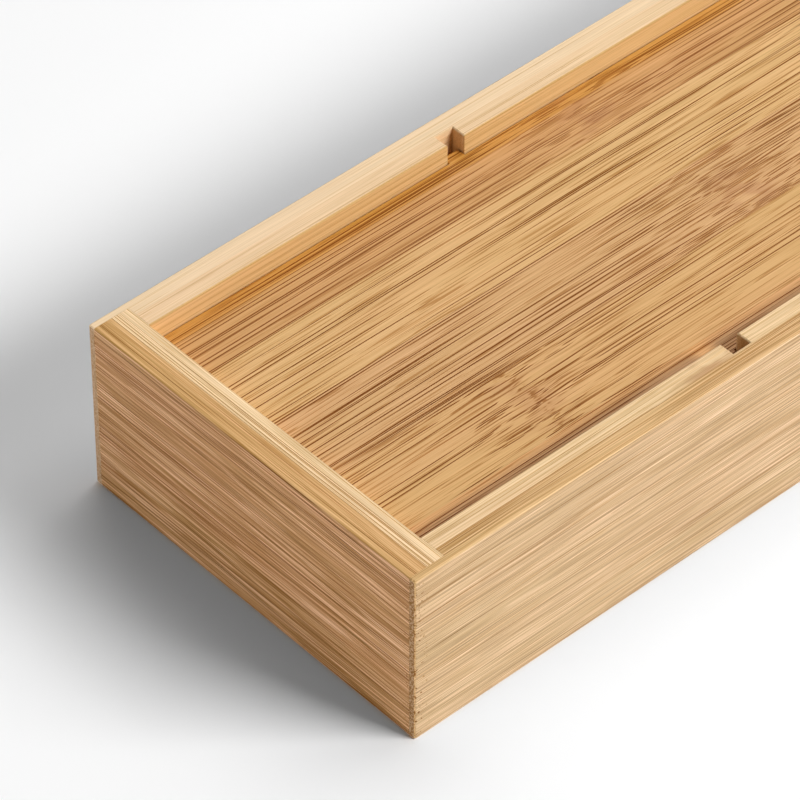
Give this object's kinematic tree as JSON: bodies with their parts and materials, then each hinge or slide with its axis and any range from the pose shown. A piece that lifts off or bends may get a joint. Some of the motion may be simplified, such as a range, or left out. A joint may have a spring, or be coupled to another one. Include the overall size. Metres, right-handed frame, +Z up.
{
  "type": "desk organizer",
  "caption": "Long low bamboo box with three square bays, lift-out dividers in slots and a flat lid that drops in below the rim and lifts off.",
  "frame": {"origin": "middle of the underside of the case", "axes": "+X along the length from the front end to the rear end, +Y to the left side, +Z up"},
  "size_m": [0.305, 0.11, 0.05],
  "materials": {
    "side_bamboo": "clear satin lacquer on laminated bamboo",
    "end_bamboo": "clear satin lacquer on laminated bamboo",
    "floor_bamboo": "clear satin lacquer on flat-pressed bamboo",
    "lid_bamboo": "clear satin lacquer on flat-pressed bamboo",
    "divider_bamboo": "clear satin lacquer on flat-pressed bamboo",
    "block_bamboo": "sanded bamboo"
  },
  "bodies": {
    "case": {"front_end": "end_bamboo", "rear_end": "end_bamboo", "right_side": "side_bamboo", "left_side": "side_bamboo", "floor_panel": "floor_bamboo", "rest_block_front_right": "block_bamboo", "rest_block_front_left": "block_bamboo", "rest_block_rear_right": "block_bamboo", "rest_block_rear_left": "block_bamboo"},
    "lid": {"lid": "lid_bamboo"},
    "front_divider": {"front_divider": "divider_bamboo"},
    "rear_divider": {"rear_divider": "divider_bamboo"}
  },
  "joints": [
    {"name": "lid_lift", "type": "slide", "parent": "case", "child": "lid", "axis": [0, 0, 1], "range_m": [0, 0.1]},
    {"name": "front_divider_lift", "type": "slide", "parent": "case", "child": "front_divider", "axis": [0, 0, 1], "range_m": [0, 0.05]},
    {"name": "rear_divider_lift", "type": "slide", "parent": "case", "child": "rear_divider", "axis": [0, 0, 1], "range_m": [0, 0.05]}
  ],
  "couplings": [
    {"joint": "front_divider_lift", "follows": "lid_lift", "ratio": 0.5},
    {"joint": "rear_divider_lift", "follows": "lid_lift", "ratio": 0.5}
  ]
}
